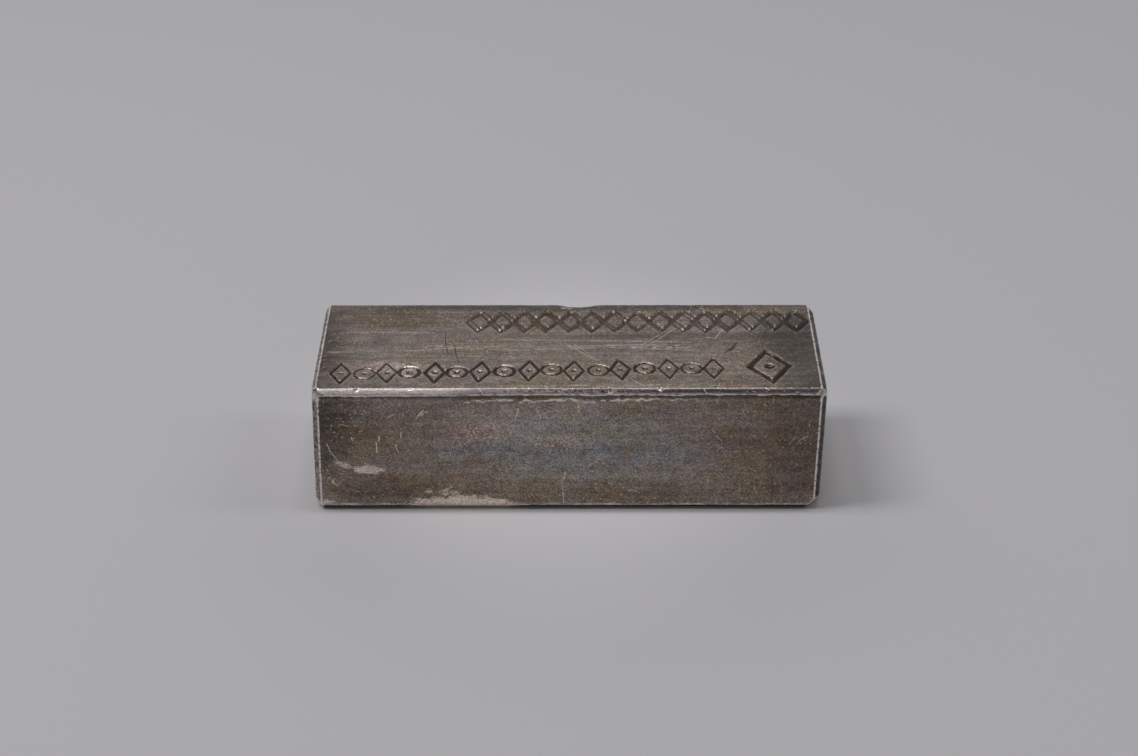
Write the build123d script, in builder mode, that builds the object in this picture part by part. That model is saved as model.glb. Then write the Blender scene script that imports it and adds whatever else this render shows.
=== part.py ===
"""Small silver bar: an extruded billet with chamfered edges, sawn to length, one edge dented in handling.

The bar lies on its underside with its length along X and its front facing -Y.
The origin is the middle of the underside.
"""

import os
from math import cos, radians, sin

from build123d import *

# Overall size in millimetres
bar_length = 53.4  # between the sawn ends, along the bar's centre line
bar_width = 19.05  # front face to back face
bar_height = 14.65  # underside to top

# Edges of the extruded section
edge_chamfer = 0.5  # legs of the chamfer on both back edges
foot_chamfer = 0.5  # legs of the chamfer on the lower front edge
lip_chamfer = 0.5  # legs of the chamfer on the top front edge
lip_land = 0.12  # flat lip between that chamfer and the crease below it
crease_mouth = 0.46  # height of the crease on the front face
crease_depth = 0.2  # how far the crease bites into the front face

# Sawn ends
saw_lean = 0.95  # degrees that both saw cuts lean out of square, top towards +X
end_chamfer = 0.6  # legs of the chamfer round the +X end and on the three front edges of the -X end
light_chamfer = 0.4  # legs of the chamfer on the other edges of the -X end

# Dent in the top back edge
dent_offset = 0.9  # from the middle of the bar, towards +X
dent_width = 4.4  # along the edge
dent_depth = 0.4  # below the chamfer of that edge

# Sizes that follow from those above
billet_length = bar_length + 2 * bar_height  # long enough for both saw cuts to leave clean ends
front = -bar_width / 2  # the front face lies across Y
crease_middle = bar_height - lip_chamfer - lip_land - crease_mouth / 2
dent_radius = (dent_width**2 / 4 + dent_depth**2) / (2 * dent_depth)
dent_reach = 2 * (edge_chamfer + dent_depth) + dent_radius  # past both faces beside the edge


def saw_plane(side):
    """The plane of one saw cut, facing out of the bar: side is 1 for the +X end and -1 for the -X end."""
    return Plane(
        origin=(side * bar_length / 2, 0, bar_height / 2),
        x_dir=(0, 1, 0),
        z_dir=(side * cos(radians(saw_lean)), 0, -side * sin(radians(saw_lean))),
    )


with BuildPart() as silver_bar:
    # Extruded section, with its four long edges chamfered
    with BuildSketch(Plane.YZ) as section:
        Rectangle(bar_width, bar_height, align=(Align.CENTER, Align.MIN))
        lower_back_corner = section.vertices().group_by(Axis.Y)[0].sort_by(Axis.X)[-1]
        top_back_corner = section.vertices().group_by(Axis.Y)[-1].sort_by(Axis.X)[-1]
        chamfer([lower_back_corner, top_back_corner], edge_chamfer)
        lower_front_corner = section.vertices().group_by(Axis.Y)[0].sort_by(Axis.X)[0]
        chamfer(lower_front_corner, foot_chamfer)
        top_front_corner = section.vertices().group_by(Axis.Y)[-1].sort_by(Axis.X)[0]
        chamfer(top_front_corner, lip_chamfer)
    extrude(amount=billet_length / 2, both=True)

    # Sawn to length, then the rim of each end is broken
    for side in (-1, 1):
        split(bisect_by=saw_plane(side), keep=Keep.BOTTOM)
    right_end = silver_bar.faces().sort_by(Axis.X)[-1]
    chamfer(right_end.edges(), end_chamfer)
    left_end = silver_bar.faces().sort_by(Axis.X)[0]
    chamfer(left_end.edges().sort_by(Axis.Y)[:3], end_chamfer)
    left_end = silver_bar.faces().sort_by(Axis.X)[0]
    chamfer(left_end.edges().sort_by(Axis.Y)[3:], light_chamfer)

    # Crease that runs the whole length, just below the lip of the top front edge
    with BuildSketch(Plane.YZ) as crease:
        with BuildLine():
            Polyline(
                (front - crease_depth, crease_middle + crease_mouth),
                (front + crease_depth, crease_middle),
                (front - crease_depth, crease_middle - crease_mouth),
                close=True,
            )
        make_face()
    extrude(amount=billet_length / 2, both=True, mode=Mode.SUBTRACT)

    # Round-bottomed dent struck square into the chamfer of the top back edge
    dent_plane = Plane(
        origin=(dent_offset, (bar_width - edge_chamfer) / 2, bar_height - edge_chamfer / 2),
        x_dir=(1, 0, 0),
        z_dir=(0, -1, 1),
    )
    with BuildSketch(dent_plane) as dent:
        with Locations((0, dent_radius - dent_depth)):
            Circle(dent_radius)
    extrude(amount=dent_reach, both=True, mode=Mode.SUBTRACT)

silver_bar.part.label = "silver_bar"
os.makedirs("parts", exist_ok=True)
export_step(silver_bar.part, "parts/silver_bar.step")
print(f"silver_bar volume {silver_bar.part.volume:.1f} mm3, box {silver_bar.part.bounding_box().size}")
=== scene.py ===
"""Looks of the silver bar: worn edges, struck ornament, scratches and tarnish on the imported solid.

The bar is shaped in millimetres in the frame of the part: length along X, front facing -Y and
underside at z = 0. Camera, floor and lights are in metres.
"""

import math

import bpy
import numpy as np
from mathutils import Matrix, Vector


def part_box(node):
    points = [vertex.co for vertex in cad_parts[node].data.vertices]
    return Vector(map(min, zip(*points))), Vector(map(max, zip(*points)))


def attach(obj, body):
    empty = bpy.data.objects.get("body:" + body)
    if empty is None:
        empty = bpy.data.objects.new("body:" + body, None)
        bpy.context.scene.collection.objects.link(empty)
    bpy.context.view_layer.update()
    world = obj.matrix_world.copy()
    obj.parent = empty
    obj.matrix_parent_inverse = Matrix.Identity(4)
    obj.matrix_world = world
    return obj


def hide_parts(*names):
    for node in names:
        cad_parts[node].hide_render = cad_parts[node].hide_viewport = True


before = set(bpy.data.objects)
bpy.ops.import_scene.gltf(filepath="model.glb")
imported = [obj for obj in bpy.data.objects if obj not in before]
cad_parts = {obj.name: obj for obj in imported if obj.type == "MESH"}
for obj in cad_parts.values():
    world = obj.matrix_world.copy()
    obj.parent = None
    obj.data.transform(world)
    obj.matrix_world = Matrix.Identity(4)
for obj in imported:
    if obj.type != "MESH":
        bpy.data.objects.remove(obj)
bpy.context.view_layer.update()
MM = 0.001

# The solid's own sizes: the box comes from the frame, its edges and its dent repeat the part's
box_low, box_high = (np.array(corner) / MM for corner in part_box("silver_bar"))
bar_width = box_high[1] - box_low[1]
bar_height = box_high[2] - box_low[2]
edge_chamfer = 0.5
foot_chamfer = 0.5
lip_chamfer = 0.5
lip_land = 0.12
crease_mouth = 0.46
crease_depth = 0.2
end_chamfer = 0.6
light_chamfer = 0.4
dent_offset = 0.9
dent_width = 4.4
dent_depth = 0.4
saw_lean = math.tan(math.radians(0.95))
half_length = box_high[0] - (bar_height / 2 - end_chamfer) * saw_lean
front = -bar_width / 2
back = bar_width / 2
crease_middle = bar_height - lip_chamfer - lip_land - crease_mouth / 2

# Wear of the surface
edge_softness = 0.035  # how far the sharp edges are rubbed back
lip_softness = 0.09  # the same at the rubbed end of the lip
edge_wear_reach = 0.07  # how far from an edge its wear shows
edge_wear_depth = 0.05
skin_clearance = 0.03  # the worn skin lies this far inside the solid, so that burrs stay within it
column_pitch = 0.16  # spacing of the mesh along the bar

# Struck ornament: where its two rows lie on the top face
stroke_half_width = 0.17
stroke_depth = 0.2
burr_height = 0.02
near_row_left = (-23.9, -6.05)  # middle of the first mark
near_row_right = (15.2, -4.85)
near_row_marks = 17
near_mark_size = (2.1, 4.0)  # width and height of a mark
large_mark_middle = (20.9, -4.55)
large_mark_size = (4.2, 6.2)
far_row_left = (-9.9, 5.1)
far_row_right = (24.4, 5.3)
far_row_marks = 15
far_mark_size = (2.7, 4.0)

rng = np.random.default_rng(7)


def lattice_noise(points, cell, seed):
    """Smooth noise between -1 and 1 at points in millimetres, with features about one cell across."""
    size = 64
    table = np.random.default_rng(seed).uniform(-1, 1, (size, size, size))
    scaled = points / np.array(cell)
    corner = np.floor(scaled).astype(int)
    blend = scaled - corner
    blend = blend * blend * (3 - 2 * blend)
    total = np.zeros(len(points))
    for step in np.ndindex(2, 2, 2):
        weight = np.prod(np.where(step, blend, 1 - blend), axis=1)
        x, y, z = ((corner + step) % size).T
        total += weight * table[x, y, z]
    return total


def ramp(value, start, end):
    """Smooth step from 0 at start to 1 at end."""
    t = np.clip((value - start) / (end - start), 0, 1)
    return t * t * (3 - 2 * t)


def hump(value, middle, reach):
    """1 at the middle, falling off like a bell over the reach."""
    return np.exp(-(((value - middle) / reach) ** 2))


# Section of the bar, seen from the +X end and walked along the top to the front, down, under and up the back
section = np.array(
    [
        (back - edge_chamfer, bar_height),
        (front + lip_chamfer, bar_height),
        (front, bar_height - lip_chamfer),
        (front, foot_chamfer),
        (front + foot_chamfer, 0),
        (back - edge_chamfer, 0),
        (back, edge_chamfer),
        (back, bar_height - edge_chamfer),
    ]
)
side_vectors = np.roll(section, -1, axis=0) - section
side_lengths = np.linalg.norm(side_vectors, axis=1)
side_starts = np.concatenate([[0], np.cumsum(side_lengths)[:-1]])
side_normals = np.stack([side_vectors[:, 1], -side_vectors[:, 0]], axis=1) / side_lengths[:, None]
side_offsets = (side_normals * section).sum(axis=1)

# Sheet: the skin laid flat in millimetres, x along the bar and the walk round its section across
sheet_span = 72.0  # the square that holds the skin and, beside it, the two ends
sheet_corner = np.array([-27.5, -1.0])
end_places = np.array([[28.0, 9.5], [28.0, 32.5]])  # middle of each end's lower edge, -X end first


def on_top(x, y):
    """Place on the sheet of a point of the top face."""
    return (x, section[0][0] - y)


def on_front(x, z):
    """Place on the sheet of a point of the front face."""
    return (x, side_starts[2] + section[2][1] - z)


def on_lip(x, share):
    """Place on the sheet of a point of the lip's chamfer, a share of the way down it."""
    return (x, side_starts[1] + share * side_lengths[1])


def on_back(x, z):
    """Place on the sheet of a point of the back face."""
    return (x, side_starts[6] + z - section[6][1])


def on_underside(x, y):
    """Place on the sheet of a point of the underside."""
    return (x, side_starts[4] + y - section[4][0])


def on_end(end, y, z):
    """Place on the sheet of a point of a sawn end: end is 0 at -X and 1 at +X."""
    return (end_places[end][0] + z, end_places[end][1] + y)


def inset_section(inset):
    """Corners of the section with every side moved inwards."""
    corners = []
    for side in range(len(section)):
        pair = [side - 1, side]
        corners.append(np.linalg.solve(side_normals[pair], side_offsets[pair] - inset))
    return np.array(corners)


def spaced(stretches):
    """Stops along one side: each stretch is (where it ends, spacing), from the side's first corner."""
    stops = [0.0]
    for end, spacing in stretches:
        count = max(1, round((end - stops[-1]) / spacing))
        stops += list(np.linspace(stops[-1], end, count + 1)[1:])
    return np.array(stops[:-1])


def section_rows():
    """Which side each lengthwise row of the mesh is on, and its share of the way along that side."""
    rim = 0.16  # the mesh is finest this close to an edge
    far_marks = (1.3, 6.2)  # where the top holds its two rows of marks, from its back edge
    near_marks = (11.2, 17.1)
    lip_start = 17.8
    top_stretches = [
        (rim, 0.05),
        (far_marks[0], 0.15),
        (far_marks[1], 0.12),
        (near_marks[0], 0.35),
        (near_marks[1], 0.12),
        (lip_start, 0.12),
        (side_lengths[0], 0.05),
    ]
    side_stretches = [
        top_stretches,
        [(0.1, 0.05), (0.6, 0.12), (side_lengths[1], 0.05)],
        [(0.75, 0.05), (side_lengths[2] - rim, 0.25), (side_lengths[2], 0.06)],
        [(rim, 0.06), (side_lengths[3] - rim, 0.14), (side_lengths[3], 0.06)],
        [(rim, 0.08), (side_lengths[4] - rim, 1.4), (side_lengths[4], 0.08)],
        [(rim, 0.08), (side_lengths[5] - rim, 0.25), (side_lengths[5], 0.08)],
        [(rim, 0.08), (side_lengths[6] - rim, 0.8), (side_lengths[6], 0.08)],
        [(rim, 0.06), (side_lengths[7] - rim, 0.12), (side_lengths[7], 0.06)],
    ]
    sides = []
    shares = []
    for side, stretches in enumerate(side_stretches):
        stops = spaced(stretches)
        sides += [side] * len(stops)
        shares += list(stops / side_lengths[side])
    return np.array(sides), np.array(shares)


def section_columns():
    """Stations along the bar: x of each ring of the mesh, and its inset by the end chamfers."""
    fine_reach = 0.8  # the mesh is finer this close to each end
    end_steps = spaced([(0.12, 0.04), (0.48, 0.09), (fine_reach, 0.05)])
    middle_half = half_length - fine_reach
    middle = np.linspace(-middle_half, middle_half, round(2 * middle_half / column_pitch) + 1)
    stations = np.concatenate([end_steps - half_length, middle, half_length - end_steps[::-1]])
    insets = np.clip(end_chamfer - (half_length - np.abs(stations)), 0, None)
    return stations, insets


# Corners knocked off in handling: which corner, how its facet leans and how deep it is
corner_breaks = [
    ((1, -1, -1), (0.8, 0.7, 0.8), 1.05),
    ((-1, -1, -1), (0.8, 0.5, 0.6), 0.75),
    ((-1, -1, 1), (0.9, 0.8, 0.4), 0.72),
    ((1, -1, 1), (0.6, 0.8, 0.5), 0.68),
    ((1, 1, 1), (1.0, 0.7, 0.5), 0.8),
    ((-1, 1, -1), (0.7, 0.9, 0.8), 0.7),
]


def solid_planes():
    """Planes of the worn solid: the sides, the sawn ends, the chamfers round them and the broken corners."""
    normals = []
    offsets = []
    front_sides = (1, 2, 3)
    for side, (normal, offset) in enumerate(zip(side_normals, side_offsets)):
        normals.append((0, *normal))
        offsets.append(offset)
        for end in (-1, 1):
            legs = end_chamfer if end > 0 or side in front_sides else light_chamfer
            normals.append(np.array([end, *normal]) / math.sqrt(2))
            offsets.append((half_length + offset - legs) / math.sqrt(2))
    for end in (-1, 1):
        normals.append((end, 0, 0))
        offsets.append(half_length)
    for signs, weights, size in corner_breaks:
        normal = np.array(signs) * weights
        normal = normal / np.linalg.norm(normal)
        corner = np.array([half_length, back, bar_height / 2]) * signs + [0, 0, bar_height / 2]
        normals.append(normal)
        offsets.append(normal @ corner - size)
    return np.array(normals, float), np.array(offsets)


plane_normals, plane_offsets = solid_planes()


def outside_by(points, softness):
    """How far each point stands outside the rounded solid, the way out, and its share of a broken corner."""
    shares = np.exp((points @ plane_normals.T - plane_offsets) / np.reshape(softness, (-1, 1)))
    total = shares.sum(axis=1)
    broken = shares[:, -len(corner_breaks) :].sum(axis=1) / total
    return softness * np.log(total), shares @ plane_normals / total[:, None], broken


# Struck marks: distance in millimetres from a point to the stroke of each kind of punch
def dot(u, v, size):
    return np.hypot(u, v) - 0.06 * size[0]


def lozenge(u, v, size):
    half_wide = size[0] / 2
    half_tall = size[1] / 2
    slope = half_wide * half_tall / math.hypot(half_wide, half_tall)
    return np.abs(np.abs(u) / half_wide + np.abs(v) / half_tall - 1) * slope


def lozenge_and_dot(u, v, size):
    return np.minimum(lozenge(u, v, size), dot(u, v, size))


def ring_and_dot(u, v, size):
    ring = np.abs(np.hypot(u, v) - size[0] / 2)
    return np.minimum(ring, dot(u, v, size))


def row_places(left, right, count, scatter):
    """Middles of the marks in one row, struck a little out of line by hand."""
    places = np.linspace(left, right, count)
    return places + rng.uniform(-scatter, scatter, places.shape)


def mark_table():
    """Every struck mark: its punch, middle, size, tilt and how hard it was struck."""
    marks = [(lozenge_and_dot, np.array(large_mark_middle), large_mark_size, 0.06, 1.5)]
    near_punches = (lozenge_and_dot, ring_and_dot)
    for index, middle in enumerate(row_places(near_row_left, near_row_right, near_row_marks, 0.15)):
        tilt = rng.uniform(-0.1, 0.1)
        marks.append((near_punches[index % 2], middle, near_mark_size, tilt, rng.uniform(0.75, 1.15)))
    for middle in row_places(far_row_left, far_row_right, far_row_marks, 0.08):
        tilt = rng.uniform(-0.05, 0.05)
        force = rng.uniform(1.0, 1.6)
        slip = rng.uniform((0.25, 0.15), (0.5, 0.45))
        marks.append((lozenge, middle, far_mark_size, tilt, force))
        marks.append((lozenge, middle + slip, far_mark_size, tilt, 0.75 * force))
    return marks


def struck(points):
    """Depth of the struck marks below the top face, and how much their shoulders are rubbed bright."""
    depth = np.zeros(len(points))
    shoulder = np.zeros(len(points))
    for punch, middle, size, tilt, force in mark_table():
        near = np.flatnonzero(np.abs(points[:, :2] - middle).max(axis=1) < max(size))
        u, v = (points[near, :2] - middle).T
        u, v = u * math.cos(tilt) + v * math.sin(tilt), v * math.cos(tilt) - u * math.sin(tilt)
        distance = punch(u, v, size)
        uneven = force * (1 + 0.6 * lattice_noise(points[near], (1.2, 1.2, 1.2), 21))
        half_width = stroke_half_width * force
        groove = stroke_depth * uneven * (1 - ramp(distance, 0.4 * half_width, 1.4 * half_width))
        rim = hump(distance, 1.75 * half_width, 0.12)
        depth[near] = np.maximum(depth[near], groove) - burr_height * uneven * rim * (groove < 0.01)
        shoulder[near] = np.maximum(shoulder[near], rim * np.clip(uneven, 0, 1))
    return depth, shoulder


# Dents and gouges: (middle, length, width, turn about the face's normal in degrees, depth)
gouges = [
    ((17.3, -0.62, bar_height), 2.6, 0.6, 57, 0.16),
    ((3.5, -7.3, bar_height), 1.7, 0.6, 12, 0.06),
    ((15.2, 1.2, bar_height), 1.5, 0.5, -25, 0.06),
    ((-12.9, 0.4, bar_height), 4.4, 0.3, -84, 0.05),
    ((-11.8, -2.0, bar_height), 3.6, 0.3, -80, 0.06),
    ((4.2, front + 0.25, bar_height - 0.25), 0.55, 0.9, 0, 0.12),
    ((9.4, front + 0.45, bar_height), 1.0, 0.5, 35, 0.1),
    ((14.1, front + 0.1, bar_height - 0.4), 0.8, 0.4, 50, 0.09),
    ((-9.0, front + 0.05, bar_height - 0.5), 0.8, 0.4, 30, 0.08),
    ((-16.5, front + 0.4, bar_height), 0.9, 0.4, 15, 0.07),
    ((-22.0, front + 0.3, bar_height - 0.2), 1.0, 0.45, 70, 0.08),
]


def gouged(points):
    """Depth of the dents and gouges at each point."""
    depth = np.zeros(len(points))
    for middle, length, width, turn, deepest in gouges:
        offset = points - np.array(middle)
        along = offset[:, 0] * math.cos(math.radians(turn)) + offset[:, 1] * math.sin(math.radians(turn))
        across = np.sqrt(np.clip((offset**2).sum(axis=1) - along**2, 0, None))
        share = (along / (length / 2)) ** 2 + (across / (width / 2)) ** 2
        depth = np.maximum(depth, deepest * np.clip(1 - share, 0, 1))
    return depth


def creased(points):
    """Depth of the ragged crease below the lip of the top front edge, and how bright its rims are painted, as
    rubbed metal and painted highlight.
    """

    def along_bar(cell, seed):
        return lattice_noise(points * (1, 0, 0), (cell, 1, 1), seed)

    x, _, z = points.T
    drift = 0.05 * along_bar(2.2, 31) + 0.03 * along_bar(0.4, 32)
    drift -= 0.1 * hump(x, 2.4, 1.6) + 0.08 * ramp(x, -9, -14)
    spread = 0.25 * along_bar(3.0, 33) + 0.4 * along_bar(0.5, 34)
    reach = (crease_mouth / 2) * (1 + spread)
    height = z - crease_middle - drift
    slope = 1 - np.abs(height) / reach
    soft = 0.12
    depth = crease_depth * soft * np.log1p(np.exp(np.clip(slope / soft, -40, 40)))
    depth *= 0.8 - 0.3 * ramp(x, -4, -12)  # shallower towards the -X end
    rubbed_below = 0.4 + 0.9 * ramp(x, -13, -8) * ramp(x, 14, 8)
    rims = 1.3 * hump(height, 1.2 * reach, 0.11) + rubbed_below * hump(height, -1.6 * reach, 0.13)
    rubbed = 0.8 + 0.4 * along_bar(0.9, 35) + 0.3 * along_bar(0.4, 36)
    return depth, rims * np.clip(rubbed, 0.3, 1)


def dented(points):
    """How far the round dent in the top back edge pushes each point in, square to that edge's chamfer."""
    radius = (dent_width**2 / 4 + dent_depth**2) / (2 * dent_depth)
    x, y, z = points.T
    along = np.clip(np.abs(x - dent_offset), 0, dent_width)
    floor = radius - dent_depth - np.sqrt(radius**2 - along**2)
    outwards = (y - back + z - bar_height + edge_chamfer) / math.sqrt(2)
    soft = 0.05
    return soft * np.log1p(np.exp(np.clip((outwards - floor) / soft, -40, 40)))


def cap_rings(inner_rows):
    """Rings that close the two sawn ends, each end with one point in its middle."""
    end_shares = (0.985, 0.95, 0.85, 0.65, 0.4, 0.2)
    middle = np.array([0, bar_height / 2])
    rings = []
    for end in (-1, 1):
        for share in end_shares:
            ring = middle + (inner_rows - middle) * share
            rings.append(np.column_stack([np.full(len(ring), end * half_length), ring]))
        rings.append(np.array([[end * half_length, *middle]]))
    return rings, len(end_shares)


def strip(first, second, rows):
    """Four-sided faces between two rings of points that start at these numbers."""
    here = np.arange(rows)
    after = (here + 1) % rows
    return np.column_stack([first + here, first + after, second + after, second + here])


def bar_faces(rows, columns, rings):
    """Faces of the long sides, then those of each end, as lists of blocks of point numbers."""
    sides = [strip(column * rows, (column + 1) * rows, rows) for column in range(columns - 1)]
    ends = []
    cap_size = rings * rows + 1
    for end in (0, 1):
        start = columns * rows + end * cap_size
        ring = (columns - 1) * rows if end else 0
        blocks = []
        for index in range(rings):
            inside = start + index * rows
            blocks.append(strip(ring, inside, rows) if end else strip(inside, ring, rows))
            ring = inside
        here = np.arange(rows)
        hub = np.column_stack([ring + here, ring + (here + 1) % rows, np.full(rows, start + cap_size - 1)])
        blocks.append(hub if end else hub[:, ::-1])
        ends.append(blocks)
    return sides, ends


def rubbed_back(points, softness):
    """The points moved on to the solid with its edges rounded by this softness."""
    rubbed = points.copy()
    for _ in range(3):
        outside, way_out, _ = outside_by(rubbed, softness)
        steep = np.clip((way_out**2).sum(axis=1), 0.2, None)
        rubbed -= way_out * (outside / steep)[:, None]
    return rubbed


def worn_down(points):
    """Rubs the edges back and presses the marks, dents and crease in; also gives what the finish needs."""
    x, y, z = points.T
    near_front = ramp(y, front + 0.9, front + 0.7)
    near_lip = near_front * ramp(z, bar_height - 0.9, bar_height - 0.7)
    rubbed_end = ramp(x, -8, -14)
    softness = edge_softness + (lip_softness - edge_softness) * near_lip * rubbed_end
    worn = rubbed_back(points, softness)
    edge_depth, way_out, broken = outside_by(worn, edge_wear_reach)
    normal = way_out / np.linalg.norm(way_out, axis=1)[:, None]
    edge = np.clip(edge_depth / (edge_wear_reach * math.log(2)), 0, 1)
    on_top_face = ramp(normal[:, 2], 0.9, 0.99)
    far_half = ramp(y, 1, 3)
    below_lip = ramp(-normal[:, 1], 0.9, 0.99) * ramp(z, 11, 12)
    slanting = math.sqrt(0.5)  # each part of the normal of a chamfer
    lip = hump(-normal[:, 1], slanting, 0.2) * hump(normal[:, 2], slanting, 0.2)
    sawn = ramp(np.abs(normal[:, 0]), 0.35, 0.6)
    rim = sawn * ramp(np.abs(normal[:, 0]), 0.98, 0.8)

    # The lip takes in its chamfer, the land below that and the upper wall of the crease
    lip_top = near_lip * ramp(normal[:, 2], 0.75, 0.9)
    whole_lip = ramp(y, front + 0.46, front + 0.2) * ramp(z, crease_middle, crease_middle + 0.12)

    # Inside each rim, the edge of the long faces is painted bright, as rubbed metal and painted highlight
    lightly_cut = (x < 0) & (y > front + lip_chamfer)
    rim_start = half_length - np.where(lightly_cut, light_chamfer, end_chamfer)
    rim_line = ramp(np.abs(x), rim_start - 0.22, rim_start - 0.08) * (1 - sawn)
    rim_line *= 1 - 0.6 * on_top_face

    mark_depth, shoulder = struck(worn)
    gouge_depth = gouged(worn)
    crease, crease_rims = creased(worn)
    uneven = 0.4 + 0.7 * lattice_noise(worn, (1.4, 1.4, 1.4), 3)
    uneven += 0.5 * lattice_noise(worn, (0.4, 0.4, 0.4), 4)
    swell = 0.012 * lattice_noise(worn, (7, 3, 3), 11)
    swell += 0.006 * lattice_noise(worn, (0.9, 0.6, 0.6), 12)
    ragged = 0.07 * lattice_noise(worn, (0.6, 0.6, 0.45), 13)
    ragged += 0.04 * lattice_noise(worn, (0.3, 0.3, 0.2), 14)
    standing = skin_clearance * (1 - ramp(-normal[:, 2], 0.9, 0.99))
    depth = standing + swell + on_top_face * mark_depth + gouge_depth
    depth += edge * edge_wear_depth * np.clip(uneven, 0, 2)
    depth += rim * np.clip(0.02 + ragged, 0, None)
    worn -= normal * depth[:, None]
    worn[:, 1] += below_lip * crease
    worn[:, 1:] -= (dented(worn) / math.sqrt(2))[:, None]
    worn[:, 0] += saw_lean * (worn[:, 2] - bar_height / 2)
    worn[:, 2] = np.clip(worn[:, 2], 0, bar_height)

    # Recesses hold tarnish, less of it in the far row of marks
    mark_tarnish = ramp(on_top_face * mark_depth, 0.01, 0.09) * (1 - 0.45 * far_half)
    recess = mark_tarnish + 0.45 * ramp(below_lip * crease, 0.02, 0.07)
    gouge_tarnish = np.clip(gouge_depth / 0.14, 0, 1) * 0.6
    edge = edge * (1 - lip_top * (0.3 + 0.7 * rubbed_end))
    stored = {
        "edge": np.clip(edge + broken + rim_line + below_lip * crease_rims, 0, 1),
        "recess": np.clip(recess + gouge_tarnish, 0, 1),
        "shoulder": shoulder * on_top_face * (1 - 0.5 * far_half),
        "sawn": sawn,
        "rim": rim,
        "lip": lip,
        "whole_lip": whole_lip * (1 - sawn),
        "foot": hump(-normal[:, 2], slanting, 0.2) * (1 - sawn),
    }
    return worn, stored


def along_sides(corners, sides, shares):
    """Points a share of the way along the sides of a section with these corners."""
    following = np.roll(corners, -1, axis=0)
    return corners[sides] * (1 - shares[:, None]) + following[sides] * shares[:, None]


def bar_mesh():
    """One closed mesh of the worn bar, laid out on the sheet, with what its finish needs on each point."""
    sides, shares = section_rows()
    stations, insets = section_columns()
    outer_rows = along_sides(section, sides, shares)
    inner_rows = along_sides(inset_section(end_chamfer), sides, shares)
    rows = len(sides)
    inset_share = (insets / end_chamfer)[:, None, None]
    yz = outer_rows[None] * (1 - inset_share) + inner_rows[None] * inset_share
    x = np.repeat(stations[:, None, None], rows, axis=1)
    rings, ring_count = cap_rings(inner_rows)
    points = np.concatenate([np.concatenate([x, yz], axis=2).reshape(-1, 3)] + rings)
    worn, stored = worn_down(points)

    side_blocks, end_blocks = bar_faces(rows, len(stations), ring_count)
    walk = side_starts[sides] + shares * side_lengths[sides]
    walk_after = np.append(walk[1:], side_lengths.sum())
    across = np.column_stack([walk, walk_after, walk_after, walk])
    faces = []
    places = []
    for block in side_blocks:
        faces += block.tolist()
        places.append(np.stack([worn[block, 0], across], axis=2).reshape(-1, 2))
    for end_place, blocks in zip(end_places, end_blocks):
        for block in blocks:
            faces += block.tolist()
            places.append((worn[block][:, :, [2, 1]] + end_place).reshape(-1, 2))

    mesh = bpy.data.meshes.new("silver_bar_worn")
    mesh.from_pydata(worn * MM, [], faces)
    mesh.shade_smooth()
    laid_out = (np.concatenate(places) - sheet_corner) / sheet_span
    for name in ("sheet", "OFBake"):
        mesh.uv_layers.new(name=name).data.foreach_set("uv", laid_out.ravel().astype(np.float32))
    for name, values in stored.items():
        mesh.attributes.new(name, "FLOAT", "POINT").data.foreach_set("value", values.astype(np.float32))
    return mesh


class Nodes:
    """A short way to add nodes to one shader tree: values and sockets go in by the input's name or number."""

    def __init__(self, tree):
        self.tree = tree

    def add(self, kind, inputs, **settings):
        node = self.tree.nodes.new(kind)
        for name, value in settings.items():
            setattr(node, name, value)
        for key, value in inputs.items():
            if isinstance(value, bpy.types.NodeSocket):
                self.tree.links.new(value, node.inputs[key])
            else:
                node.inputs[key].default_value = value
        return node

    def math(self, operation, first, second):
        return self.add("ShaderNodeMath", {0: first, 1: second}, operation=operation).outputs[0]

    def times(self, first, second):
        return self.math("MULTIPLY", first, second)

    def vector(self, operation, first, second=(0, 0, 0)):
        node = self.add("ShaderNodeVectorMath", {0: first, 1: second}, operation=operation)
        return node.outputs[1 if operation in ("LENGTH", "DISTANCE", "DOT_PRODUCT") else 0]

    def scale(self, vector, share):
        node = self.add("ShaderNodeVectorMath", {0: vector, "Scale": share}, operation="SCALE")
        return node.outputs[0]

    def turned(self, vector, angle):
        inputs = {"Vector": vector, "Angle": angle}
        return self.add("ShaderNodeVectorRotate", inputs, rotation_type="Z_AXIS").outputs[0]

    def ramp(self, value, start, end, low=0.0, high=1.0):
        inputs = {"Value": value, "From Min": start, "From Max": end, "To Min": low, "To Max": high}
        return self.add("ShaderNodeMapRange", inputs, interpolation_type="SMOOTHSTEP").outputs[0]

    def noise(self, position, stretch, detail=2.0, roughness=0.5):
        """Noise between 0 and 1 with features about 1/stretch millimetres across on each axis."""
        scaled = self.vector("MULTIPLY", position, stretch)
        inputs = {"Vector": scaled, "Scale": 1.0, "Detail": detail, "Roughness": roughness}
        return self.add("ShaderNodeTexNoise", inputs).outputs["Fac"]

    def mix(self, share, first, second):
        return self.add("ShaderNodeMix", {0: share, 6: first, 7: second}, data_type="RGBA").outputs[2]

    def most(self, masks):
        """The largest of several masks at each point; a generator keeps few of them waiting at once."""
        total = 0.0
        for mask in masks:
            total = self.math("MAXIMUM", total, mask)
        return total

    def stored(self, name):
        return self.add("ShaderNodeAttribute", {}, attribute_name=name).outputs["Fac"]


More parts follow.
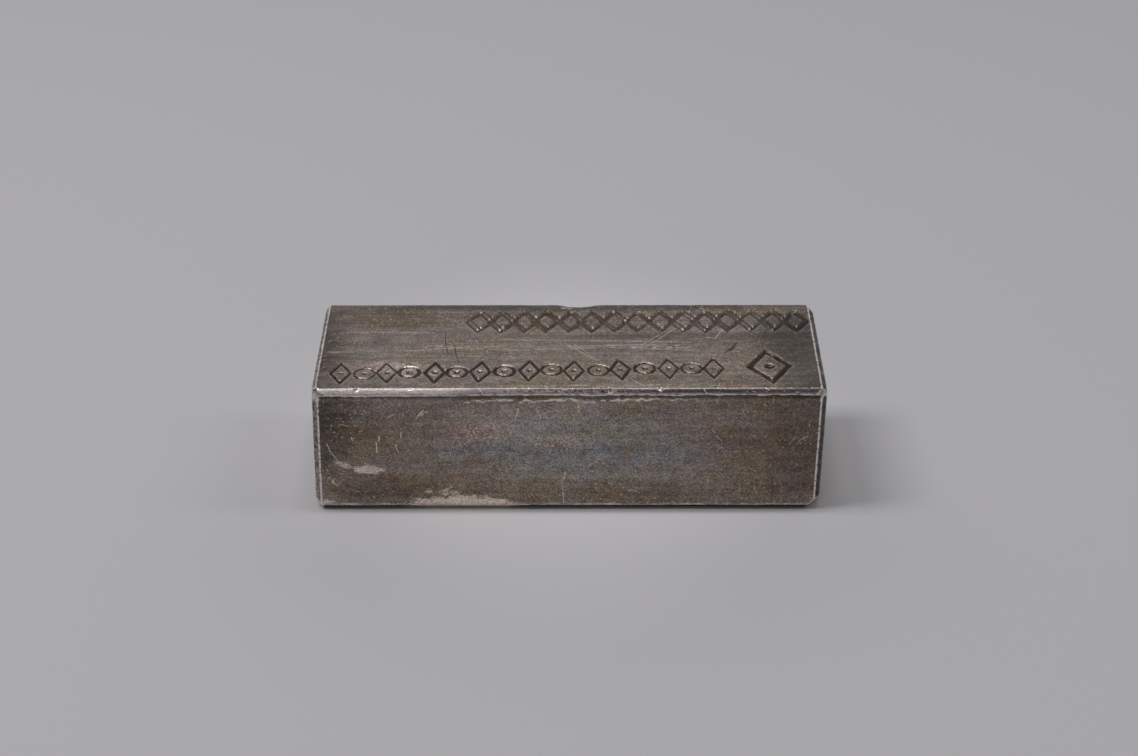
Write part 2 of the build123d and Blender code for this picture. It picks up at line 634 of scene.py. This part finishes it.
# Colours of the metal, as shares of red, green and blue light that it sends back
tarnish_grey = (0.295, 0.252, 0.225, 1)
tarnish_brown = (0.25, 0.19, 0.138, 1)
tarnish_blue = (0.275, 0.275, 0.262, 1)
tarnish_steel = (0.21, 0.228, 0.25, 1)
tarnish_orange = (0.32, 0.2, 0.115, 1)
tarnish_red = (0.4, 0.25, 0.22, 1)
tarnish_olive = (0.26, 0.23, 0.16, 1)
tarnish_plum = (0.27, 0.22, 0.235, 1)
tarnish_dark = (0.14, 0.12, 0.11, 1)
rubbed_silver = (0.76, 0.65, 0.56)
bright_silver = (0.82, 0.76, 0.73, 1)
speck_red = (0.74, 0.53, 0.49, 1)
recess_tarnish = (0.05, 0.034, 0.026, 1)
lip_tarnish = (0.058, 0.05, 0.058, 1)
lip_plum = (0.36, 0.32, 0.34, 1)
# Dark tarnish for the rims, and painted shade on the +X rim
rim_tarnish_and_painted_shade = (0.085, 0.078, 0.08, 1)
# Near-black painted shade for the foot chamfers under the bar
foot_painted_shade = (0.012, 0.01, 0.009, 1)

# Broad patches of tarnish: (middle on the sheet, reach along and across, colour, strength)
tarnish_patches = [
    (on_front(1, 8.0), (17, 6.5), tarnish_blue, 0.75),
    (on_front(-4, 7.5), (16, 1.1), tarnish_steel, 0.7),
    (on_front(9, 7.0), (10, 1.4), tarnish_steel, 0.5),
    (on_front(-8, 7.3), (14, 0.6), tarnish_dark, 0.35),
    (on_front(-9.5, 9.8), (3.2, 1.6), tarnish_red, 0.4),
    (on_front(-8, 2.4), (22, 2.6), tarnish_brown, 0.6),
    (on_front(-24.0, 11.8), (6.0, 2.6), tarnish_dark, 0.65),
    (on_front(-21, 8.5), (7, 3.0), tarnish_brown, 0.8),
    (on_front(-16, 3.2), (11, 2.2), tarnish_brown, 0.75),
    (on_front(-24.5, 7.0), (2.5, 1.2), tarnish_dark, 0.5),
    (on_front(21.5, 7), (8.5, 9), tarnish_brown, 0.85),
    (on_front(18, 9.0), (4, 3), tarnish_dark, 0.35),
    (on_front(24, 3.5), (4, 5), tarnish_dark, 0.35),
    (on_front(6, 2.2), (12, 1.6), tarnish_brown, 0.5),
    (on_front(25.2, 2.6), (0.8, 1.6), tarnish_orange, 0.8),
    (on_front(6.0, 7.4), (0.7, 0.8), tarnish_orange, 0.7),
    (on_front(14.5, 10.5), (1.6, 1.4), tarnish_orange, 0.4),
    (on_front(-22.5, 10.0), (1.6, 1.0), tarnish_orange, 0.45),
    (on_top(-19, 6.2), (8, 3.0), tarnish_brown, 0.8),
    (on_top(-21.5, 5.0), (2.5, 1.2), tarnish_orange, 0.4),
    (on_top(-19, -4.0), (7, 2.2), tarnish_brown, 0.5),
    (on_top(-1.8, 7.8), (2.4, 0.9), tarnish_orange, 0.6),
    (on_top(23.5, 1), (5.5, 9), tarnish_dark, 0.5),
    (on_top(20, 0.8), (9, 2.0), tarnish_brown, 0.6),
    (on_top(0, 8.6), (28, 1.2), tarnish_dark, 0.45),
    (on_top(3.5, -7.3), (1.3, 0.6), tarnish_brown, 0.9),
    (on_back(-14, 8.5), (13, 4.5), tarnish_steel, 0.6),
    (on_back(9, 4.0), (15, 3.0), tarnish_brown, 0.8),
    (on_back(20, 10.5), (7, 4.0), tarnish_dark, 0.5),
    (on_back(-22, 3.0), (5, 2.5), tarnish_orange, 0.4),
    (on_back(2, 11.0), (4, 1.5), tarnish_plum, 0.6),
    (on_underside(-6, 1), (20, 7), tarnish_blue, 0.5),
    (on_underside(17, -3), (9, 5), tarnish_brown, 0.8),
    (on_underside(-21, -4), (5, 4), tarnish_dark, 0.5),
    (on_end(0, 3, 9), (4, 6), tarnish_brown, 0.7),
    (on_end(0, -5, 4), (3, 4), tarnish_steel, 0.5),
    (on_end(1, -3, 8), (5, 5), tarnish_dark, 0.5),
    (on_end(1, 5, 4), (3, 4), tarnish_orange, 0.35),
]

# Lighter and darker stretches, painted light and shade mixed with uneven tarnish: (middle on the sheet, reach
# along and across, share of light)
tarnish_and_painted_light_levels = [
    (on_front(-1, 7.5), (21, 14), 1.12),
    (on_front(-3, 12.5), (11, 3.5), 1.15),
    (on_front(-28, 10), (8, 9), 0.6),
    (on_front(-20, 2.6), (9, 1.8), 0.75),
    (on_front(2, 1.5), (32, 3), 0.87),
    (on_front(27, 9), (9, 11), 0.7),
    (on_top(-29, 0), (8, 16), 0.45),
    (on_top(28, 0), (11, 16), 0.5),
    (on_top(-13, -0.8), (12, 3.5), 1.1),
    (on_top(-15.5, -6.2), (6, 3), 1.1),
    (on_top(12, 2.0), (16, 1.2), 0.7),
    (on_top(-20, 6), (9, 4), 0.8),
    (on_top(0, 8.6), (32, 1.8), 0.56),
    (on_back(-5, 7), (24, 7), 0.85),
    (on_back(24, 7), (7, 12), 0.6),
    (on_back(-26, 8), (6, 10), 0.65),
    (on_back(0, 1.2), (30, 1.6), 0.7),
    (on_underside(0, 0), (24, 8), 0.9),
    (on_end(0, -1, 3), (5, 9), 0.75),
    (on_end(1, 1, 10), (5, 9), 0.75),
]

# Places rubbed back to bare metal, with ragged edges: (middle on the sheet, reach along and across, strength)
rubbed_patches = [
    (on_front(-11.4, 0.3), (7.6, 2.0), 1.6),
    (on_front(-9.0, 0.4), (5.0, 1.5), 1.5),
    (on_front(-21.0, 4.95), (2.1, 0.7), 1.6),
    (on_front(-13.2, 2.3), (2.8, 0.8), 0.5),
    (on_front(-25.7, 0.9), (1.3, 0.7), 0.7),
    (on_front(-15.0, 11.9), (1.0, 0.5), 0.6),
    (on_top(-17, -5.4), (8, 2.6), 0.35),
    (on_top(9, -0.4), (7, 0.9), 0.4),
    (on_top(-0.3, 8.3), (0.9, 0.5), 0.8),
    (on_top(6, -8.6), (20, 0.5), 0.35),
    (on_back(12, 1.0), (9, 1.2), 0.9),
    (on_back(-17, 13.2), (6, 0.9), 0.6),
    (on_back(-3, 9), (5, 1.5), 0.4),
    (on_underside(-2, -7.5), (22, 1.6), 0.5),
    (on_underside(8, 6.5), (14, 1.8), 0.5),
    (on_underside(-14, 2), (6, 2.5), 0.45),
]

# Rubbed places made of many fine parallel scratches: (middle, reach along and across the scratches, slant)
hatched_patches = [
    (on_front(-21.3, 5.0), (2.4, 0.85), 10),
    (on_front(-23.6, 5.6), (1.9, 0.7), 26),
    (on_top(-18, -4.5), (5, 1.2), 20),
    (on_back(17, 7.5), (3.5, 0.9), -24),
    (on_end(1, -4, 10), (2.2, 0.7), 55),
]

# Clusters of small reddish specks: (middle on the sheet, reach along and across)
speckled_patches = [
    (on_front(-8.6, 9.6), (5.2, 2.2)),
    (on_front(-1.0, 8.4), (6.0, 1.6)),
    (on_top(-18, -4.5), (6.5, 1.8)),
    (on_back(-9, 6), (4, 2)),
]

# Bright scratches: places along each one on the sheet, and its width
bright_scratches = [
    ([on_top(-0.4, 0.4), on_top(3.0, -3.3)], 0.1),
    ([on_top(0.6, 0.2), on_top(2.4, -2.2)], 0.08),
    ([on_top(8.2, -0.5), on_top(11.8, 4.1)], 0.1),
    ([on_top(8.0, 0.2), on_top(9.8, 2.3)], 0.08),
    ([on_top(6.6, -7.3), on_top(7.9, -8.7)], 0.11),
    ([on_top(14.7, 1.7), on_top(15.7, 1.45), on_top(16.5, 3.4)], 0.13),
    ([on_front(-5.2, 12.4), on_front(-5.5, 11.1)], 0.12),
    ([on_front(-3.35, 12.5), on_front(-2.95, 11.5)], 0.12),
    ([on_front(1.0, 12.9), on_front(1.1, 12.0)], 0.16),
    ([on_front(-0.3, 4.7), on_front(-0.55, 3.7)], 0.16),
    ([on_front(-0.7, 3.3), on_front(-0.6, 2.5)], 0.11),
    ([on_front(-0.6, 2.2), on_front(-0.5, 0.8)], 0.12),
    ([on_front(-19.7, 9.1), on_front(-19.75, 8.6)], 0.25),
    ([on_front(-20.05, 8.3), on_front(-20.0, 7.0)], 0.15),
    ([on_front(-17.4, 9.6), on_front(-17.45, 8.9)], 0.16),
    ([on_front(-25.2, 8.2), on_front(-24.9, 7.2), on_front(-24.2, 6.2)], 0.1),
    ([on_front(-18.6, 11.4), on_front(-18.1, 11.8)], 0.14),
    ([on_front(-15.6, 11.5), on_front(-15.0, 12.2)], 0.2),
    ([on_front(-18.0, 8.0), on_front(-17.9, 7.4)], 0.17),
    ([on_front(-22.6, 8.9), on_front(-22.5, 8.6)], 0.22),
    ([on_front(-24.9, 3.6), on_front(-24.3, 2.9)], 0.12),
    ([on_front(-24.6, 3.9), on_front(-24.9, 3.3)], 0.12),
    ([on_front(14.67, 3.7), on_front(14.67, 3.4)], 0.16),
    ([on_front(-24.6, 0.95), on_front(-25.5, 1.0)], 0.12),
    ([on_lip(4.13, -0.1), on_lip(4.2, 1.1)], 0.24),
    ([on_lip(9.2, 0.0), on_lip(9.6, 0.6)], 0.2),
    ([on_lip(14.0, 0.3), on_lip(14.3, 1.0)], 0.18),
    ([on_lip(-9.2, 0.2), on_lip(-8.8, 0.9)], 0.16),
    ([on_lip(20.3, 0.0), on_lip(20.7, 0.4)], 0.16),
    ([on_back(-6.5, 11.5), on_back(-2.2, 8.8), on_back(-0.4, 8.2)], 0.12),
    ([on_back(5.5, 6.0), on_back(7.4, 9.4)], 0.1),
    ([on_back(-20.5, 5.0), on_back(-15.0, 4.1)], 0.12),
    ([on_back(22.0, 3.0), on_back(23.1, 5.6)], 0.14),
    ([on_back(14.2, 12.6), on_back(15.0, 11.2)], 0.18),
    ([on_underside(-22, -5), on_underside(-9, -1.5), on_underside(2, 0.2)], 0.12),
    ([on_underside(4, 4.5), on_underside(19, 2.2)], 0.14),
    ([on_underside(-16, 7), on_underside(-12.5, 3.5)], 0.1),
    ([on_underside(11, -6.5), on_underside(13.5, -2.5)], 0.12),
    ([on_end(0, -6, 11.5), on_end(0, -2.5, 9.5)], 0.12),
    ([on_end(0, 4.5, 3.0), on_end(0, 6.0, 6.5)], 0.14),
    ([on_end(1, 1.5, 4.5), on_end(1, 4.8, 6.0)], 0.12),
]

# Long, broken light streaks left by drawing and rubbing: places along each one, its width and its strength
broken_streaks = [
    ([on_top(-25.4, -1.5), on_top(-15.7, -1.1), on_top(-11.5, -0.5)], 0.5, 1),
    ([on_top(-11.5, -0.5), on_top(-5.1, -1.1), on_top(3.3, -0.5)], 0.5, 1),
    ([on_top(3.3, -0.5), on_top(13.9, -1.15)], 0.45, 1),
    ([on_top(-14.0, -0.2), on_top(-3.0, -0.4), on_top(9.0, 0.1)], 0.4, 1),
    ([on_top(-24.5, 2.8), on_top(-19.0, 3.0), on_top(-14.5, 2.8)], 0.5, 0.8),
    ([on_top(-7.0, 1.2), on_top(4.0, 0.9), on_top(13.0, 0.6)], 0.35, 1),
    ([on_back(-25.0, 10.6), on_back(-8.0, 10.2), on_back(11.0, 10.7)], 0.5, 1),
    ([on_back(-12.0, 3.2), on_back(6.0, 2.8), on_back(25.0, 3.3)], 0.4, 1),
    ([on_front(-25.9, 0.6), on_front(0, 0.62), on_front(25.9, 0.6)], 0.5, 2.0),
    ([on_back(-25.9, 0.6), on_back(25.9, 0.6)], 0.5, 1.6),
]

# Short scratches all over: (size of the cell that may hold one, length, width, share of the cells)
scattered_ticks = [
    (1.6, 1.3, 0.07, 0.2),
    (0.8, 0.5, 0.08, 0.2),
    (0.45, 0.16, 0.13, 0.2),
]

# Scratches that hold dark tarnish: places along each one on the sheet, and its width
dark_scratches = [
    ([on_top(-13.2, 3.0), on_top(-13.1, 0.6), on_top(-12.7, -2.0)], 0.14),
    ([on_top(-12.1, 0), on_top(-11.9, -1.8), on_top(-11.5, -3.9)], 0.17),
    ([on_top(16.6, -1.6), on_top(17.9, 0.4)], 0.22),
    ([on_top(-17.0, 3.1), on_top(-16.2, 3.15)], 0.2),
    ([on_front(21.4, 4.2), on_front(21.5, 0.8)], 0.11),
    ([on_back(-11.5, 12.5), on_back(-10.6, 9.0)], 0.16),
    ([on_back(18.5, 5.5), on_back(20.4, 4.6)], 0.2),
    ([on_underside(-3.5, -3.0), on_underside(-1.0, -5.5)], 0.18),
]


def patch_mask(nodes, sheet, middle, reach):
    """1 at the middle of a patch, falling to 0 at its reach."""
    offset = nodes.vector("SUBTRACT", sheet, (*middle, 0))
    share = nodes.vector("LENGTH", nodes.vector("DIVIDE", offset, (*reach, 1)))
    return nodes.ramp(share, 1.0, 0.3)


def line_mask(nodes, sheet, start, end, width):
    """1 along a straight line, falling to 0 at half its width."""
    run = np.subtract(end, start)
    offset = nodes.vector("SUBTRACT", sheet, (*start, 0))
    share = nodes.vector("DOT_PRODUCT", offset, (*(run / (run @ run)), 0))
    share = nodes.math("MAXIMUM", nodes.math("MINIMUM", share, 1.0), 0.0)
    distance = nodes.vector("DISTANCE", offset, nodes.scale((*run, 0), share))
    return nodes.ramp(distance, width / 2, width / 6)


def scratch_mask(nodes, sheet, places, width):
    """1 along the lines that join the places."""
    return nodes.most(line_mask(nodes, sheet, start, end, width) for start, end in zip(places, places[1:]))


def ticks(nodes, sheet, cell, length, width, share):
    """Short scratches at random places and angles: one in each cell, of which only a share is kept."""
    scaled = nodes.scale(sheet, 1 / cell)
    cells = nodes.add("ShaderNodeTexVoronoi", {"Vector": scaled, "Scale": 1.0}, voronoi_dimensions="2D")
    offset = nodes.scale(nodes.vector("SUBTRACT", scaled, cells.outputs["Position"]), cell)
    chance = nodes.add("ShaderNodeSeparateColor", {0: cells.outputs["Color"]})
    angle = nodes.times(chance.outputs[0], 2 * math.pi)
    turned = nodes.turned(offset, angle)
    parts = nodes.add("ShaderNodeSeparateXYZ", {0: nodes.vector("ABSOLUTE", turned)})
    along = nodes.ramp(parts.outputs[0], length / 2, length / 4)
    across = nodes.ramp(parts.outputs[1], width / 2, width / 6)
    kept = nodes.math("LESS_THAN", chance.outputs[1], share)
    return nodes.times(nodes.times(along, across), kept)


def hatch_mask(nodes, sheet, middle, reach, slant):
    """Fine parallel scratches at a slant, fading out at the reach of the patch."""
    offset = nodes.vector("SUBTRACT", sheet, (*middle, 0))
    turned = nodes.turned(offset, -math.radians(slant))
    share = nodes.vector("LENGTH", nodes.vector("DIVIDE", turned, (*reach, 1)))
    scratches = nodes.noise(turned, (0.7, 5.0, 1.0), 2, 0.8)
    faded = nodes.math("SUBTRACT", scratches, nodes.ramp(share, 0.3, 1.0, 0.0, 0.6))
    return nodes.ramp(faded, 0.28, 0.55, 0, 0.8)


def tarnish(nodes, position, sheet):
    """Colour of the tarnish before wear, with the noises that shape it: clouds, patches, lines and grain, and
    stretches of painted light and shade.
    """
    wander_inputs = {"Vector": position, "Scale": 0.7, "Detail": 4.0, "Roughness": 0.6}
    wander = nodes.add("ShaderNodeTexNoise", wander_inputs).outputs["Color"]
    wander = nodes.vector("SUBTRACT", wander, (0.5, 0.5, 0.5))
    warped = nodes.vector("ADD", sheet, nodes.vector("MULTIPLY", wander, (4.0, 2.4, 0)))
    broad = nodes.noise(position, (0.11, 0.3, 0.3), 5, 0.65)
    colour = nodes.mix(nodes.ramp(broad, 0.42, 0.62, 0, 0.7), tarnish_grey, tarnish_brown)
    for middle, reach, patch_colour, strength in tarnish_patches:
        mask = nodes.times(patch_mask(nodes, warped, middle, reach), strength)
        colour = nodes.mix(mask, colour, patch_colour)

    # Clouds lean to brown or to blue, and everything is darkened and lightened at several scales
    clouds = nodes.noise(position, (0.5, 0.9, 0.9), 4, 0.7)
    colour = nodes.mix(nodes.ramp(clouds, 0.52, 0.68, 0, 0.35), colour, tarnish_orange)
    colour = nodes.mix(nodes.ramp(clouds, 0.48, 0.34, 0, 0.4), colour, tarnish_blue)
    hue = nodes.noise(position, (0.3, 0.45, 0.45), 3, 0.6)
    colour = nodes.mix(nodes.ramp(hue, 0.52, 0.66, 0, 0.5), colour, tarnish_olive)
    colour = nodes.mix(nodes.ramp(hue, 0.48, 0.34, 0, 0.3), colour, tarnish_plum)
    lines = nodes.noise(position, (0.06, 1.6, 1.6), 3, 0.6)
    grain = nodes.noise(position, (6.0, 6.6, 6.6), 1.2, 0.9)
    smears = nodes.noise(position, (0.7, 1.2, 1.2), 3, 0.7)
    across = nodes.add("ShaderNodeSeparateXYZ", {0: sheet}).outputs[1]
    lined = nodes.ramp(across, side_starts[2], side_starts[1], 0.1, 0.2)  # the top shows its drawn lines best
    shade = nodes.ramp(lines, 0.3, 0.7, nodes.math("SUBTRACT", 1.0, lined), nodes.math("ADD", 1.0, lined))
    shade = nodes.times(shade, nodes.ramp(grain, 0.25, 0.75, 0.5, 1.5))
    shade = nodes.times(shade, nodes.ramp(smears, 0.3, 0.7, 0.84, 1.16))
    # Painted light and shade: broad stretches of the surface made lighter or darker
    for middle, reach, level in tarnish_and_painted_light_levels:
        mask = patch_mask(nodes, warped, middle, reach)
        shade = nodes.times(shade, nodes.ramp(mask, 0, 1, 1, level))
    return nodes.scale(colour, shade), lines, grain, broad


def saw_lines(nodes, position):
    """Lines left by the saw across the ends, and slanting round their rims."""
    coordinate = nodes.vector("DOT_PRODUCT", position, (1.2, 0.3, 0.95))
    waver = nodes.times(nodes.noise(position, (0.3, 0.3, 0.3), 1), 0.25)
    coordinate = nodes.math("ADD", coordinate, waver)
    inputs = {"W": coordinate, "Scale": 4.5, "Detail": 3.0, "Roughness": 0.75}
    return nodes.add("ShaderNodeTexNoise", inputs, noise_dimensions="1D").outputs["Fac"]


def rubbed_masks(nodes, position, sheet):
    """Each kind of place where handling has rubbed the tarnish through, one mask at a time."""
    patches = nodes.most(
        nodes.times(patch_mask(nodes, sheet, middle, reach), strength)
        for middle, reach, strength in rubbed_patches
    )
    speckle = nodes.noise(position, (0.9, 2.8, 2.8), 3, 0.85)
    ragged = nodes.math("ADD", patches, nodes.ramp(speckle, 0.3, 0.7, -0.75, 0.4))
    ragged = nodes.ramp(ragged, 0.1, 0.8, 0, 0.95)
    yield nodes.times(ragged, nodes.ramp(patches, 0.0, 0.3))
    broken = nodes.ramp(nodes.noise(position, (0.45, 2.2, 2.2), 3, 0.8), 0.4, 0.62, 0.05, 0.55)
    for places, width, strength in broken_streaks:
        streak = nodes.times(scratch_mask(nodes, sheet, places, width), strength)
        yield nodes.times(streak, broken)
    many = nodes.ramp(nodes.noise(position, (0.12, 0.3, 0.3), 2), 0.4, 0.6, 0.2, 1)
    for cell, length, width, share in scattered_ticks:
        yield nodes.times(ticks(nodes, sheet, cell, length, width, share), many)
    for middle, reach, slant in hatched_patches:
        yield hatch_mask(nodes, sheet, middle, reach, slant)
    for places, width in bright_scratches:
        yield scratch_mask(nodes, sheet, places, width)


def sawn_ends(nodes, position, along, rim, colour):
    """The colour with dark rims, painted darker towards the +X end as painted shade, with the lines of the
    saw on the ends, and those lines as a height.
    """
    sawn = nodes.stored("sawn")
    saw = saw_lines(nodes, position)
    # Painted shade: the rims are painted dark tarnish, most of all towards the +X end
    rim_shade_share = nodes.times(rim, nodes.ramp(along, -10, 10, 0.1, 0.95))
    colour = nodes.mix(rim_shade_share, colour, rim_tarnish_and_painted_shade)
    darkest = nodes.ramp(rim, 0, 1, 0.6, 0.3)
    lightest = nodes.ramp(rim, 0, 1, 1.35, 1.8)
    saw_shade = nodes.ramp(saw, 0.34, 0.66, darkest, lightest)
    colour = nodes.mix(sawn, colour, nodes.scale(colour, saw_shade))
    return colour, nodes.times(saw, sawn)


def tarnished_lip(nodes, along, scuffs, colour):
    """The colour with the lip's own tarnish, which is darkest towards the +X end."""
    lip = nodes.stored("lip")
    colour = nodes.mix(lip, colour, lip_plum)
    dark_lip = nodes.times(lip, nodes.ramp(along, -15, 1, 0, 1))
    held = nodes.ramp(along, 0, 14, 0, 0.8)
    dark_lip = nodes.times(dark_lip, nodes.ramp(scuffs, 0.56, 0.46, held, 1))
    return nodes.mix(dark_lip, colour, lip_tarnish)


def silver_material():
    """Tarnished silver, its wear told by places on the sheet and by what the mesh stores on its points."""
    material = bpy.data.materials.new("tarnished_silver")
    material.use_nodes = True
    tree = material.node_tree
    tree.nodes.clear()
    nodes = Nodes(tree)
    metres = nodes.add("ShaderNodeTexCoord", {}).outputs["Object"]
    position = nodes.vector("MULTIPLY", metres, (1 / MM,) * 3)
    laid_out = nodes.add("ShaderNodeUVMap", {}, uv_map="sheet").outputs[0]
    sheet = nodes.vector("ADD", nodes.scale(laid_out, sheet_span), (*sheet_corner, 0))
    colour, lines, grain, broad = tarnish(nodes, position, sheet)

    # Ends, lip, and the foot painted near-black as painted shade
    along = nodes.add("ShaderNodeSeparateXYZ", {0: position}).outputs[0]
    rim = nodes.stored("rim")
    colour, saw_height = sawn_ends(nodes, position, along, rim, colour)
    chips = nodes.noise(position, (1.8, 3.2, 3.2), 3, 0.75)
    scuffs = nodes.noise(position, (2.2, 5.0, 5.0), 3, 0.85)
    colour = tarnished_lip(nodes, along, scuffs, colour)
    # Painted shade: the foot chamfers under the bar are painted near-black where the contact shadow falls
    foot = nodes.stored("foot")
    colour = nodes.mix(foot, colour, foot_painted_shade)

    # The lip is rubbed bright towards the -X end; the rim there is painted bright, a painted highlight with
    # chipped wear
    bright_lip = nodes.times(nodes.stored("whole_lip"), nodes.ramp(along, -9, -14, 0, 1))
    bright_lip = nodes.times(bright_lip, nodes.ramp(scuffs, 0.4, 0.54, 0.22, 0.88))
    rim_highlight_and_wear = nodes.times(rim, nodes.ramp(along, -20, -25, 0, 0.55))
    rim_highlight_and_wear = nodes.times(rim_highlight_and_wear, nodes.ramp(chips, 0.42, 0.6))

    # Specks of red tarnish in clusters
    clusters = nodes.most(patch_mask(nodes, sheet, middle, reach) for middle, reach in speckled_patches)
    flecks = nodes.ramp(nodes.noise(position, (3.4, 4.0, 4.0), 2, 0.75), 0.53, 0.6)
    specks = nodes.times(clusters, flecks)
    colour = nodes.mix(specks, colour, speck_red)

    # Bare metal shows on the shoulders of the marks and wherever it was rubbed; the -X rim and the edges are
    # painted bright, as wear and painted highlight
    shoulder = nodes.times(nodes.stored("shoulder"), nodes.ramp(grain, 0.35, 0.6, 0.05, 0.25))
    bare = nodes.most([nodes.most(rubbed_masks(nodes, position, sheet)), rim_highlight_and_wear, shoulder])
    bare_colour = nodes.scale(rubbed_silver, nodes.ramp(grain, 0.25, 0.75, 0.6, 1.4))
    colour = nodes.mix(bare, colour, bare_colour)
    # Edge wear, painted brighter as a painted highlight along the edges, rims and crease
    edge = nodes.times(nodes.stored("edge"), nodes.ramp(chips, 0.36, 0.56, 0.42, 1))
    edge = nodes.math("MAXIMUM", nodes.ramp(edge, 0.2, 0.75), bright_lip)
    colour = nodes.mix(edge, colour, bright_silver)

    # Recesses and cuts hold dark tarnish
    cuts = nodes.most(scratch_mask(nodes, sheet, places, width) for places, width in dark_scratches)
    cuts = nodes.times(cuts, 0.8)
    dark = nodes.most([cuts, nodes.ramp(nodes.stored("recess"), 0.1, 0.8, 0, 0.9)])
    colour = nodes.mix(dark, colour, recess_tarnish)

    # Worn metal is glossier and the foot's painted shade is dull
    worn = nodes.most([bare, edge])
    roughness = nodes.ramp(broad, 0.3, 0.7, 0.38, 0.48)
    roughness = nodes.math("SUBTRACT", roughness, nodes.times(worn, 0.06))
    roughness = nodes.math("MAXIMUM", roughness, nodes.times(foot, 0.9))
    height = nodes.math("ADD", nodes.times(lines, 0.4), grain)
    height = nodes.math("ADD", height, nodes.times(saw_height, 3.0))
    bump = nodes.add("ShaderNodeBump", {"Height": height, "Strength": 0.6, "Distance": 0.03 * MM})
    shader_inputs = {
        "Base Color": colour,
        "Metallic": 1.0,
        "Roughness": roughness,
        "Normal": bump.outputs[0],
    }
    shader = nodes.add("ShaderNodeBsdfPrincipled", shader_inputs)
    nodes.add("ShaderNodeOutputMaterial", {"Surface": shader.outputs[0]})
    return material


def add_object(name, data):
    """A new object of the scene that shows this data."""
    thing = bpy.data.objects.new(name, data)
    bpy.context.scene.collection.objects.link(thing)
    return thing


def add_bar():
    bar = add_object("silver_bar_worn", bar_mesh())
    bar.data.materials.append(silver_material())
    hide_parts("silver_bar")
    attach(bar, "root")


# Floor: a pale sheet with a painted pool of light round the bar
floor_half_size = 3.0
floor_colour = (0.5, 0.491, 0.506, 1)
painted_light_pool_colour = (0.63, 0.617, 0.637, 1)
painted_light_pool_middle = (0, 0.008, 0)
painted_light_pool_reach = (0.036, 0.045, 1)


def floor_material():
    """Pale grey, with a pool of painted light round the bar, where the floor is lit best."""
    material = bpy.data.materials.new("pale_floor")
    material.use_nodes = True
    nodes = Nodes(material.node_tree)
    place = nodes.add("ShaderNodeTexCoord", {}).outputs["Object"]
    offset = nodes.vector("SUBTRACT", place, painted_light_pool_middle)
    share = nodes.vector("LENGTH", nodes.vector("DIVIDE", offset, painted_light_pool_reach))
    # Painted light: the floor's colour is lighter in a pool round the bar
    colour = nodes.mix(nodes.ramp(share, 0.3, 1.0), painted_light_pool_colour, floor_colour)
    shader = material.node_tree.nodes["Principled BSDF"]
    material.node_tree.links.new(colour, shader.inputs["Base Color"])
    shader.inputs["Roughness"].default_value = 0.85
    shader.inputs["Specular IOR Level"].default_value = 0.2
    return material


def add_floor():
    mesh = bpy.data.meshes.new("floor")
    corner_signs = [(-1, -1), (1, -1), (1, 1), (-1, 1)]
    corners = [(x * floor_half_size, y * floor_half_size, 0) for x, y in corner_signs]
    mesh.from_pydata(corners, [], [(0, 1, 2, 3)])
    mesh.materials.append(floor_material())
    add_object("floor", mesh)


# Camera: fitted to the outline of the bar in the photograph
photo_width = 1138
focal_length_px = 2367
camera_elevation = 30.12
camera_turn = 0.13
camera_roll = -0.12
bar_below_centre = 9.14  # of the picture, in millimetres at the bar's distance
bar_right_of_centre = -0.03
camera_distance = 259.1


def add_camera():
    data = bpy.data.cameras.new("camera")
    data.sensor_width = 36
    data.sensor_fit = "HORIZONTAL"
    data.lens = data.sensor_width * focal_length_px / photo_width
    data.clip_start = 0.01
    camera = add_object("camera", data)
    turn = Matrix.Rotation(math.radians(camera_turn), 4, "Z")
    tilt = Matrix.Rotation(math.radians(90 - camera_elevation), 4, "X")
    roll = Matrix.Rotation(math.radians(camera_roll), 4, "Z")
    pose = turn @ tilt @ roll
    place = pose @ Vector((-bar_right_of_centre, bar_below_centre, camera_distance)) * MM
    camera.matrix_world = Matrix.Translation(place) @ pose
    bpy.context.scene.camera = camera


# Soft lights: (name, place, width and height, power in watts)
softboxes = [
    ("left_softbox", (-0.33, -0.03, 0.6), (0.16, 0.3), 1.74),
    ("right_softbox", (0.45, 0.0, 0.5), (0.1, 0.3), 0.4),
    ("top_softbox", (0, 0.024, 0.75), (0.3, 0.03), 1.36),
]

# Studio: a dim room with a bright backdrop behind the bar and a panel above its front
room_colour = (1, 0.98, 1, 1)
room_light = 0.035
backdrop_light = 0.57
panel_light = 0.45
panel_direction = (-0.1, -0.8, 0.58)


def add_softbox(name, place, size, power):
    """A rectangular soft light at place that faces the bar."""
    data = bpy.data.lights.new(name, "AREA")
    data.shape = "RECTANGLE"
    data.size, data.size_y = size
    data.energy = power
    light = add_object(name, data)
    light.location = place
    bar_middle = Vector((0, 0, bar_height / 2 * MM))
    light.rotation_euler = (bar_middle - Vector(place)).to_track_quat("-Z", "Y").to_euler()


def add_studio():
    """The room round the bar, which lights it and shows in its metal."""
    world = bpy.data.worlds.new("studio")
    world.use_nodes = True
    nodes = Nodes(world.node_tree)
    direction = nodes.add("ShaderNodeTexCoord", {}).outputs["Generated"]
    towards_back = nodes.vector("DOT_PRODUCT", direction, (0, 1, 0))
    upwards = nodes.vector("DOT_PRODUCT", direction, (0, 0, 1))
    backdrop = nodes.times(nodes.ramp(towards_back, 0.1, 0.75), nodes.ramp(upwards, 0.85, 0.6))
    above_front = nodes.vector("DOT_PRODUCT", direction, panel_direction)
    front_panel = nodes.ramp(above_front, 0.84, 0.96, 0, panel_light)
    strength = nodes.math("ADD", nodes.ramp(backdrop, 0, 1, room_light, backdrop_light), front_panel)
    background = world.node_tree.nodes["Background"]
    background.inputs["Color"].default_value = room_colour
    world.node_tree.links.new(strength, background.inputs["Strength"])
    bpy.context.scene.world = world


add_camera()
add_floor()
for softbox in softboxes:
    add_softbox(*softbox)
add_studio()
add_bar()
bpy.context.scene.view_settings.view_transform = "Standard"
